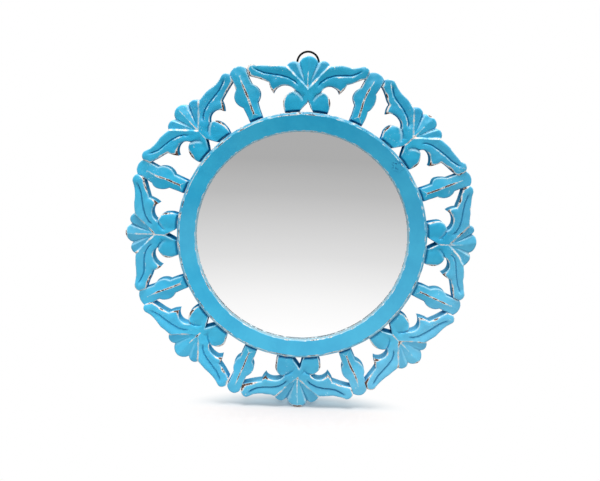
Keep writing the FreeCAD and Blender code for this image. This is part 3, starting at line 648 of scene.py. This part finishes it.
def flowerRelief(points, edgeGap, cuts, veinShade, angle):
    f = flower
    w, v = np.abs(points[:, 0]), points[:, 1]
    half = np.stack([w, v], 1)
    r = np.hypot(w, v)
    # leaves with a vein, which is steeper on its upper side
    leaf = f["face"] - f["leafDroop"] * smooth(20, 76, w)
    gap, side, t = nearest(np.array(f["vein"], float), half)
    fade = smooth(0, 0.10, t) * smooth(1, 0.88, t)
    fall = np.where(side > 0, veinFall(gap, *f["veinUpper"]), veinFall(gap, *f["veinLower"]))
    leaf = leaf - f["veinDepth"] * fade * fall
    leaf = leaf - f["edgeDroop"] * np.clip(1 - edgeGap / 6, 0, 1) ** 2 * smooth(16, 26, w)
    # painted shade in the vein, darker on some flowers
    hollow = np.clip(1.25 * (1 - gap / np.where(side > 0, 1.4, 0.9)), 0, 1) * fade * veinShade
    # knobs, parted from the leaves by a short cut
    middleU, middleV = f["knobMiddle"]
    middleDrop, edgeDrop = f["knobDrop"]
    dome = np.clip(np.hypot(w - middleU, v - middleV) / f["knobRadius"], 0, 1) ** 2
    knob = smooth(188, 182, v) * smooth(4, 10, w)
    leaf = leaf - (middleDrop + edgeDrop * dome) * knob
    gap, side, t = nearest(np.array(f["knobCut"], float), half)
    leaf = leaf - f["knobDepth"] * (1 - t) ** 0.6 * np.clip(1 - gap / np.where(side > 0, 2.2, 0.9), 0, 1)
    # painted shade in the knob cut
    hollow = np.maximum(hollow, np.clip(1 - gap / 0.9, 0, 1) * (1 - t) * 0.8)
    # the fan lies lower, behind a bevelled border, and its petals are parted by cuts
    inFan = fanReach(half)
    fan = f["fanFace"] - f["fanDroop"] * np.clip(r - 195, 0, None) ** 2
    across = w / np.maximum(v - heart, 1)
    edge, cut, crease = f["petalLines"]
    depth = cuts * f["petalDepth"] * np.clip((v - f["petalStart"]) / (f["petalEnd"] - f["petalStart"]), 0, 1)
    ridge, slant = f["middlePetal"]
    middle = fan + ridge - slant * w
    sides = fan - depth * (1 - np.clip((across - cut) / (crease - cut), 0, 1))
    beyond = np.clip((across - edge) / (cut - edge), 0, 1)
    fan = middle * (1 - beyond) + sides * beyond
    # painted shade on petal flanks that face down, and lightly on the side petals
    flank = np.clip((crease - across) / (crease - cut), 0, 1) * (across > cut - 0.005)
    turnedDown = smooth(0.2, -0.2, flankFacing(points, angle))
    hollow = np.maximum(hollow, 0.9 * flank * turnedDown * depth / f["petalDepth"] * (inFan > 1))
    hollow = np.maximum(hollow, 0.22 * smooth(crease, crease + 0.05, across) * smooth(1.2, 2.2, inFan))
    face = np.where(inFan > 0, np.maximum(fan, leaf - f["borderFall"] * inFan), leaf)
    # feet fall steeply to the ring, with painted shade on their slopes
    hollow = np.maximum(hollow, footShade(angle) * smooth(ringEdge + 3.4, ringEdge + 2.6, r))
    height, rise = f["foot"]
    face = np.minimum(face, height + (r - ringEdge) * rise)
    leafEdge, fanEdge = f["rounding"]
    radius = np.where(inFan > 0, fanEdge, leafEdge) * smooth(ringEdge, ringEdge + 3, r) + 0.02
    return face - roundedDrop(edgeGap, radius), hollow


def footShade(angle):
    # the slopes of the feet are less dark on the right of the mirror, and at the middle of its left side
    right = math.sin(angle)
    return 1 - 0.62 * smooth(0.45, 0.7, right) - 0.55 * max(-right, 0) ** 3


def flankFacing(points, angle):
    # how far the outer side of a petal's cut faces up, from -1 to 1
    lean = math.atan(flower["petalLines"][1])
    return np.sign(points[:, 0]) * math.cos(lean) * math.sin(angle) + math.sin(lean) * math.cos(angle)


def fanReach(half):
    # how far inside the fan's border
    (bu, bv), (cu, cv) = flower["border"]
    return ((half[:, 1] - bv) * (cu - bu) - (half[:, 0] - bu) * (cv - bv)) / math.hypot(cu - bu, cv - bv)


def flowerRub(points, ridgeRun, cuts, spots, angle, seed):
    # how far the paint is rubbed along the borders, the petals, the ridge and the rim, and where painted
    # highlights lie on the petals and beside the knob cut
    f = flower
    wear = f["wear"]
    w, v = np.abs(points[:, 0]), points[:, 1]
    half = np.stack([w, v], 1)
    left = np.where(points[:, 0] < 0, 37.0, 0.0)  # so that the left side is rubbed in other places
    gap, _, t = nearest(np.array(f["border"], float), half)
    much = patchy(wear["border"], seed, np.stack([t * 38 + left, left], 1))
    lines = worn(much, np.where(gap < 4, np.abs(fanReach(half) - 0.8), gap), 2.2)
    # petals: pale rub, partly a painted highlight, on the side of each cut that faces up
    across = w / np.maximum(v - heart, 1)
    edge, cut, crease = f["petalLines"]
    much = patchy(wear["petals"], seed + 3, np.stack([v + left, left], 1))
    much = much * smooth(198, 206, v) * cuts
    facing = flankFacing(points, angle)
    inner = smooth(edge - 0.025, edge, across) * smooth(cut, cut - 0.02, across) * smooth(0.2, -0.2, facing)
    outer = smooth(cut - 0.02, cut, across) * smooth(crease + 0.03, crease - 0.02, across)
    outer = outer * smooth(-0.1, 0.25, facing)
    lines = np.maximum(lines, much * (inner + outer))
    # painted highlight on the petal flanks that face up
    paintedHighlight = 0.55 * (inner + outer) * cuts * smooth(198, 208, v)
    lines = np.maximum(lines, worn(0.6 * much, np.abs(across - crease) * (v - heart), 1.0))
    gap, _, t = nearest(np.array([(0, end) for end in ridgeRun], float), half)
    much = patchy(wear["ridge"], seed + 1, np.stack([t * 24, t * 0], 1)) - 0.45 * t
    lines = np.maximum(lines, worn(much, gap, 1.35 - 0.4 * t))
    gap, side, t = nearest(np.array(f["knobCut"], float), half)
    much = np.where(side > 0, f["knobCutWear"] * (1 - t), 0)
    lines = np.maximum(lines, worn(much, np.abs(gap - 1.8), 1.0))
    # painted highlight beside the knob cut, on the upper flowers
    lit = 0.9 * np.sqrt(1 - t) * smooth(-0.3, 0.5, math.cos(angle)) * (side > 0)
    paintedHighlight = np.maximum(paintedHighlight, lit * smooth(2.0, 0.7, np.abs(gap - 1.7)))
    # veins: pale rub beside the vein's lower side, partly a painted highlight, less so low on the mirror
    gap, side, t = nearest(np.array(f["vein"], float), half)
    much = patchy(wear["vein"], seed + 4, np.stack([t * 70 + left, left], 1))
    much = much - 0.34 * smooth(0.4, -0.3, math.cos(angle))
    much = np.where(side < 0, much * smooth(0, 0.1, t), 0)
    lines = np.maximum(lines, worn(much, np.abs(gap - 1.9), 1.0))
    # the rim, more so inwards and at its worn places
    rim = patchy(wear["rim"], seed + 2, points) + 0.13 * smooth(*f["paleFrom"], v)
    for u0, v0, reach, much in f["rubs"]:
        rim = rim + much * np.exp(-((w - u0) ** 2 + (v - v0) ** 2) / reach ** 2)
    for u0, v0, reach, much in spots:
        rim = rim + much * np.exp(-((points[:, 0] - u0) ** 2 + (v - v0) ** 2) / reach ** 2)
    return lines, rim, paintedHighlight


lines = [divided(flower[key]) for key in ("vein", "border", "knobCut", "ridge")]
lines.append(beside(lines[0], flower["veinUpper"][0])[2:-2])
lines.append(beside(lines[0], -flower["veinLower"][0])[2:-2])
lines.append(beside(lines[1], flower["bevel"])[3:-1])
for across in flower["petalLines"]:
    ends = (flower["petalStart"] + 4, flower["petalEnd"] + 6)
    lines.append(divided([(across * (v - heart), v) for v in ends]))
flowerPlan = Plan(closedOutline(flower["outline"], flower["crown"]), mirroredLines(lines), 5)
for k in range(flower["count"]):
    seed = 100 + 20 * k
    angle = math.radians(360 / flower["count"] * k)
    points = flowerPlan.points
    cuts = flower["fanCuts"][k]
    relief, hollow = flowerRelief(points, flowerPlan.edgeGap, cuts, flower["veinShades"][k], angle)
    spots = flower["spots"].get(k, [])
    lineRub, rimRub, paintedHighlight = flowerRub(points, flower["ridgeRuns"][k], cuts, spots, angle, seed)
    # painted shade: walls are drawn dark near the ring, in the gap between the knobs and at the leaf ends
    rim = points[flowerPlan.rim]
    across, out = np.abs(rim[:, 0]), rim[:, 1]
    inGap = smooth(10, 8.6, across) * (out < heart)
    narrow = np.maximum(smooth(ringEdge + 15, ringEdge + 5, np.hypot(across, out)), inGap)
    narrow = np.maximum(narrow, 0.55 * smooth(58, 73, across) * smooth(215, 211, out))
    lean = flower["gapLean"] * inGap * smooth(ringEdge, ringEdge + 7, out)
    wear = {"lines": lineRub, "rim": rimRub, "hollow": hollow, "narrow": narrow, "paintedHighlight": paintedHighlight,
            "paleFrom": flower["paleFrom"]}
    name = f"carved_flower_{k + 1}"
    piece = carvedPiece(name, flowerPlan, relief, flower["moves"][k], wear, lean, angle, seed)
    dress(piece, f"flower_{k + 1}", paintFinish)
print("flowers carved:", flower["count"], "with", len(flowerPlan.points), "points each")


# Leaf bars between the flowers

bar = {
    "count": 8,
    "outline": [
        ((8.5, 162.78), None),
        ((9, 183), (14.5, 194.5)),  # the swell
        ((10, 206), None),
        ((10, 226.5), None),
    ],
    "crown": (0, 231),
    "base": (0, 163),
    "ridge": [(0, 172.5), (0, 220)],
    "hip": [(0, 172.5), (8.6, 163.5)],
    "ridgeHeight": 18.6,
    "roof": 0.16,  # fall from the ridge to the sides
    "headDroop": 0.0045,
    "hipEnd": (17.6, 0.16),  # height of the face between the hips near the ring, and its rise
    "foot": (12.0, 2.0),  # height at the ring, and rise away from it
    "rounding": 0.8,
    "wear": {"ridge": (1.12, 0.22, 12.0), "rim": (0.42, 0.15, 16.0)},  # as for the flowers
    "hipWear": 0.65,
    "paleFrom": (226, 218),
    "moves": [  # as for the flowers
        [(12, 195, -3, 0), (-12, 195, -3, 0), (0, 230, 0, -1.5), (-10, 211, -2, 0)],
        [(-12, 197, 0, -6)],
        [],
        [(0, 230, 0, 3), (-11, 205, -2.5, 0)],
        [(0, 230, 0, 6), (12, 220, -2.5, 0), (12, 195, -2, 0)],
        [(-8, 226, -2, 0.5)],
        [(-13, 203, -3, 0)],
        [(12, 195, 2.5, 0), (-12, 195, -2, 0), (0, 230, 0, 2)],
    ],
}


def barRelief(points, edgeGap, angle):
    w, v = np.abs(points[:, 0]), points[:, 1]
    r = np.hypot(w, v)
    roof = bar["ridgeHeight"] - bar["roof"] * w * smooth(226, 204, v)
    face = roof - bar["headDroop"] * np.clip(v - 203, 0, None) ** 2
    for (height, rise), start in ((bar["hipEnd"], ringEdge + 3), (bar["foot"], ringEdge)):
        face = np.minimum(face, height + (r - start) * rise)
    radius = bar["rounding"] * smooth(ringEdge, ringEdge + 3, r) + 0.02
    # painted shade on the slope of the foot by the ring
    hollow = footShade(angle) * smooth(ringEdge + 3.4, ringEdge + 2.6, r)
    return face - roundedDrop(edgeGap, radius), hollow


def barRub(points, seed):
    wear = bar["wear"]
    half = np.abs(points)
    gap, _, t = nearest(np.array(bar["ridge"], float), half)
    outerEnd = smooth(0.6, 1, t)
    much = patchy(wear["ridge"], seed, np.stack([t * 38, t * 0], 1)) - 0.55 * outerEnd
    lines = worn(much, gap, 1.8 - 0.6 * outerEnd)
    gap, _, t = nearest(np.array(bar["hip"], float), half)
    lines = np.maximum(lines, worn(bar["hipWear"] - 0.5 * t, gap, 1.1))
    return lines, patchy(wear["rim"], seed + 2, points)


lines = [divided(bar[key]) for key in ("ridge", "hip")]
barPlan = Plan(closedOutline(bar["outline"], bar["crown"], bar["base"]), mirroredLines(lines), 6)
for k in range(bar["count"]):
    seed = 400 + 20 * k
    angle = math.radians(360 / bar["count"] * (k + 0.5))
    points = barPlan.points
    relief, hollow = barRelief(points, barPlan.edgeGap, angle)
    lineRub, rimRub = barRub(points, seed)
    rim = points[barPlan.rim]
    # painted shade on walls near the ring
    narrow = smooth(ringEdge + 15, ringEdge + 5, np.hypot(rim[:, 0], rim[:, 1]))
    wear = {"lines": lineRub, "rim": rimRub, "hollow": hollow, "narrow": narrow,
            "paintedHighlight": np.zeros(len(points)), "paleFrom": bar["paleFrom"]}
    name = f"carved_bar_{k + 1}"
    lean = np.zeros(len(rim))
    piece = carvedPiece(name, barPlan, relief, bar["moves"][k], wear, lean, angle, seed)
    dress(piece, f"leaf_bar_{k + 1}", paintFinish)
print("bars carved:", bar["count"], "with", len(barPlan.points), "points each")


# Ring segments round the glass

ring = {
    "count": 8,
    "steps": 75,  # slices in a segment
    "spacing": 0.8,  # between points along the profile
    "profile": [  # radius, height, and rounding of each corner, from the back round to the front
        (ringEdge, 0, 0.4), (ringEdge, 18.8, 0.5), (160, 20.5, 0.7), (139.8, 16.8, 0.6),
        (138.2, 10, 0.1), (144, 10, 0.1), (144, 4, 0.1), (150.5, 4, 0.1), (150.5, 0, 0.3),
    ],
    "uneven": 0.12,  # how uneven the face was left
    "middle": 150,  # radius that parts the side at the glass from the outer side
    "wall": 140,  # the wall round the glass lies inside this radius
    "slope": 160.3,  # and the outer slope outside this one
    "polished": (16.3, 162.8),  # the glossy face lies above this height and inside this radius
    "wornEdges": [  # radius, height, reach, how much, and how much less where the ring is less worn
        (160, 20.4, 0.9, 0.68, 0.26), (139.8, 16.7, 1.1, 0.46, 0), (161.6, 19.6, 2.0, 0.24, 0.10),
        (163, 18.7, 0.9, 0.56, 0.26), (138.2, 10.3, 1.5, 1.2, 0.45)],
    "sides": {  # thin paint on the wall and the slope, and the pale edge of each, partly a painted highlight: as for the worn edges
        "innerThin": (139.0, 13.4, 3.7, 0.88),
        "outerThin": (161.6, 19.6, 2.0, 0.30),
        "innerLip": (139.4, 15.3, 2.4, 0.50),
        "outerLip": (161.6, 19.6, 2.2, 0.45),
        "sideLip": (139.0, 13.4, 3.7, 1.0),  # the wall is paler at the mirror's sides and top, partly a painted highlight
    },
    "glassCorner": (138.2, 10, 1.6),  # painted shade in the corner at the glass: radius, height and reach
}


def roundedProfile(corners, spacing):
    points = []
    for k, (r, d, radius) in enumerate(corners):
        nextR, nextD, nextRadius = corners[(k + 1) % len(corners)]
        here, there = np.array([r, d], float), np.array([nextR, nextD], float)
        back = np.array(corners[k - 1][:2], float) - here
        on = there - here
        a, b = here + back / np.hypot(*back) * radius, here + on / np.hypot(*on) * radius
        for t in (0, 0.25, 0.5, 0.75, 1):
            points.append(a * (1 - t) ** 2 + here * 2 * t * (1 - t) + b * t ** 2)
        end = there - on / np.hypot(*on) * nextRadius
        points += list(divided([b, end], spacing)[1:-1])
    return np.array(points)


profile = roundedProfile(ring["profile"], ring["spacing"])
wide = len(profile)
radii, heights = profile.T
sides = {}
for key, (r0, d0, reach, much) in ring["sides"].items():
    onSide = radii < ring["wall"] if r0 < ring["middle"] else radii > ring["slope"]
    sides[key] = much * smooth(reach, 0.6 * reach, np.hypot(radii - r0, heights - d0)) * onSide
r0, d0, reach = ring["glassCorner"]
corner = np.clip(1 - np.hypot(radii - r0, heights - d0) / reach, 0, 1)
least, most = ring["polished"]
glossy = (heights > least) * (radii < most) * 1.0
for k in range(ring["count"]):
    span = 360 / ring["count"]
    turns = np.radians((k + 0.5) * span - span / 2 + np.linspace(0, span, ring["steps"] + 1))
    rows = []
    fields = {"rub": [], "hollow": [], "polish": [], "primed": [], "lip": []}
    for turn in turns:
        aside, up = math.sin(turn), math.cos(turn)
        spot = np.tile((ringEdge * up, ringEdge * aside), (wide, 1))
        uneven = waves(11, spot + profile * 0.6, 26.0) * ring["uneven"] * (heights > 12)
        r, d = radii + uneven, heights + uneven * 0.6
        rows.append(np.stack([r * aside, -d, r * up], 1) / 1000)
        # the slope, the wall and the worn edges change round the mirror
        upper = smooth(-0.6, 0.2, up)
        bright = smooth(-0.75, -0.1, up)
        right = smooth(0.0, 0.7, aside) * smooth(-0.5, 0.0, up)
        calm = right - 0.3 * smooth(0.3, 0.9, -aside)
        rub = np.zeros(wide)
        for n, (r0, d0, reach, much, less) in enumerate(ring["wornEdges"]):
            lessWorn = bright if r0 < ring["middle"] else calm
            much = much - less * lessWorn + 0.34 * waves(60 + n, spot, 13.0)
            rub = np.maximum(rub, worn(much, np.hypot(radii - r0, heights - d0), reach))
        thinWall = sides["innerThin"] * (1 - 0.75 * bright)
        thinSlope = sides["outerThin"] * (0.3 + 0.7 * upper)
        paleWall = np.maximum(sides["innerLip"], sides["sideLip"] * bright)
        fields["rub"].append(rub)
        # painted shade in the corner at the glass, less at the mirror's sides and top
        fields["hollow"].append(corner * (0.8 - 0.65 * bright))
        fields["polish"].append(glossy)
        fields["primed"].append(thinWall + thinSlope)
        # pale edges, partly a painted highlight, and the outer slope paler low down
        fields["lip"].append(paleWall + sides["outerLip"] * (1 - upper))
    faces = [(i * wide + j, i * wide + (j + 1) % wide, (i + 1) * wide + (j + 1) % wide, (i + 1) * wide + j)
             for i in range(ring["steps"]) for j in range(wide)]
    faces.append(tuple(range(wide))[::-1])
    faces.append(tuple(range(ring["steps"] * wide, (ring["steps"] + 1) * wide)))
    piece = makePiece(f"ring_piece_{k + 1}", np.vstack(rows), faces, fields)
    dress(piece, f"ring_segment_{k + 1}", paintFinish)
print("ring made of", ring["count"], "pieces")


# Glass, backing and hanger keep their solids and get finishes

solids = {
    "silvered_glass": ["mirror_glass"],
    "grey_card": ["backing_card"],
    "hardboard": ["backing_board"],
    "zinc_steel": ["backing_screws", "hanger_screws", "hanger_strap"],
    "black_enamel": ["hanger_ring"],
    "bare_beech": ["ring_dowels", "flower_dowels", "bar_dowels"],
}
for finish, names in solids.items():
    for name in names:
        for slot in nodes[name].material_slots:
            slot.material = finishes[finish]
print("solids dressed:", sum(len(names) for names in solids.values()))


# Studio: white floor and backdrop, soft light from above in front

studio = {
    "ambient": (0.22, 1.0),  # the room's light from in front, and from the white paper behind
    "backFrom": (-0.35, 0.15),  # where the room in front gives way to the paper behind
    "farGrey": 0.39,  # how the room looks far in front
    "floorSize": 40,
    "floorShade": rgb(0.60, 0.56, 0.545),  # the floor where lamps light it, so that it takes a shadow
    "floorBounceTint": rgb(0.40, 0.52, 0.58),  # and behind, with a painted bounce of the paint's colour
    "tintFrom": (-0.03, 0.005),
    "floorGlow": 0.04,
    "poolMiddle": (0, -0.03),  # the floor that takes the shadow: its middle, half width and half depth
    "poolSize": (0.17, 0.07),
    "poolFade": (0.4, 1.0),  # from here on it turns plain white
    "bounce": 0.50,  # the floor's light on the mirror
    "paperGlow": 1.05,  # and in the glass
    "paperReach": 4.0,
    "paper": [  # the lit paper grows grey away from the mirror: share of the reach, grey
        (0.0, 3.2), (0.035, 2.6), (0.06, 1.35), (0.09, 1.0), (0.1375, 0.92), (0.18, 0.83), (0.235, 0.73),
        (0.307, 0.66), (0.41, 0.58), (0.55, 0.50), (0.79, 0.445), (1.0, 0.41)],
    "lights": [  # place, size, watts
        ((0.2, -4.75, 3.33), 2.0, 195),
        ((-0.2, -1.2, 7.2), 2.4, 480),
    ],
    "aim": (0, 0, 0),
}


def studioFloor():
    size = studio["floorSize"]
    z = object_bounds()[0].z
    mesh = bpy.data.meshes.new("floor")
    corners = [(-size, -size, z), (size, -size, z), (size, size, z), (-size, size, z)]
    mesh.from_pydata(corners, [], [(0, 1, 2, 3)])
    floor = bpy.data.objects.new("floor", mesh)
    scene.collection.objects.link(floor)
    finish, wire = newFinish("studio_paper")
    paths = wire.node("LightPath")
    place = wire.node("TexCoord", out="Object")
    away = wire.vectors("LENGTH", {0: place}, "Value")
    pool = wire.vectors("SUBTRACT", {0: place, 1: (*studio["poolMiddle"], z)})
    pool = wire.vectors("DIVIDE", {0: pool, 1: (*studio["poolSize"], 1)})
    pool = wire.vectors("LENGTH", {0: pool}, "Value")
    near = wire.node("ValToRGB", {"stops": studio["paper"]}, {"Fac": away * (1 / studio["paperReach"])})
    # painted bounce light in the paint's colour on the floor behind the mirror
    behind = wire.node("SeparateXYZ", {}, {0: place}, out="Y").rise(*studio["tintFrom"])
    shaded = wire.node("BsdfDiffuse", {}, {"Color": behind.blend(studio["floorShade"], studio["floorBounceTint"])})
    glow = wire.node("Emission", {}, {"Strength": studio["floorGlow"]})
    shaded = wire.node("AddShader", {}, {0: shaded, 1: glow})
    white = wire.node("Emission", {}, {"Strength": 1.0})
    seen = wire.node("MixShader", {}, {0: pool.rise(*studio["poolFade"]), 1: shaded, 2: white})
    lit = wire.node("Emission", {}, {"Color": near, "Strength": studio["paperGlow"]})
    bounce = wire.node("Emission", {}, {"Color": near, "Strength": studio["bounce"]})
    mirrored = wire.maths("MAXIMUM", paths.out("Is Glossy Ray"), paths.out("Is Transmission Ray"))
    both = wire.node("MixShader", {}, {0: mirrored, 1: bounce, 2: lit})
    both = wire.node("MixShader", {}, {0: paths.out("Is Camera Ray"), 1: both, 2: seen})
    wire.node("OutputMaterial", {}, {"Surface": both})
    finish.cycles.emission_sampling = "NONE"
    mesh.materials.append(finish)


def studioWorld():
    world = bpy.data.worlds.new("studio")
    world.use_nodes = True
    world.node_tree.nodes.clear()
    scene.world = world
    wire = Wire(world.node_tree)
    paths = wire.node("LightPath")
    mirrored = wire.maths("MAXIMUM", paths.out("Is Glossy Ray"), paths.out("Is Transmission Ray"))
    way = wire.node("TexCoord", out="Generated")
    behind = wire.node("SeparateXYZ", {}, {0: way}, out="Y").rise(*studio["backFrom"])
    front, back = studio["ambient"]
    grey = studio["farGrey"]
    room = behind.blend(rgb(grey, grey, grey), rgb(1, 1, 1))
    glow = behind.blend(rgb(front, front, front), rgb(back, back, back))
    light = wire.node("Background", {}, {"Color": glow, "Strength": 1.0})
    white = wire.node("Background", {}, {"Color": rgb(1, 1, 1), "Strength": 1.0})
    shown = wire.node("Background", {}, {"Color": room, "Strength": 1.0})
    mix = wire.node("MixShader", {}, {0: paths.out("Is Camera Ray"), 1: light, 2: white})
    mix = wire.node("MixShader", {}, {0: mirrored, 1: mix, 2: shown})
    wire.node("OutputWorld", {}, {"Surface": mix})


studioFloor()
studioWorld()
for k, (place, size, watts) in enumerate(studio["lights"]):
    lamp = bpy.data.lights.new(f"softbox_{k + 1}", "AREA")
    lamp.energy = watts
    lamp.size = size
    lampObject = bpy.data.objects.new(lamp.name, lamp)
    lampObject.location = place
    lampObject.rotation_euler = (Vector(studio["aim"]) - Vector(place)).to_track_quat("-Z", "Y").to_euler()
    scene.collection.objects.link(lampObject)


# Camera

shot = {
    "place": (0, -0.852, 0.174),
    "target": (0, -0.02, 0),
    "lens": 39.24,
    "frameWidth": 36,
    "roll": 2.0,  # the mirror stands turned a little
    "shift": (-0.0031, -0.0012),
}
camera = bpy.data.cameras.new("camera")
camera.lens = shot["lens"]
camera.sensor_width = shot["frameWidth"]
camera.sensor_fit = "HORIZONTAL"
camera.shift_x, camera.shift_y = shot["shift"]
cameraObject = bpy.data.objects.new("camera", camera)
cameraObject.location = shot["place"]
aim = (Vector(shot["target"]) - Vector(shot["place"])).to_track_quat("-Z", "Y")
cameraObject.rotation_euler = (aim @ Quaternion((0, 0, 1), math.radians(shot["roll"]))).to_euler()
scene.collection.objects.link(cameraObject)
scene.camera = cameraObject
print("studio and camera set")
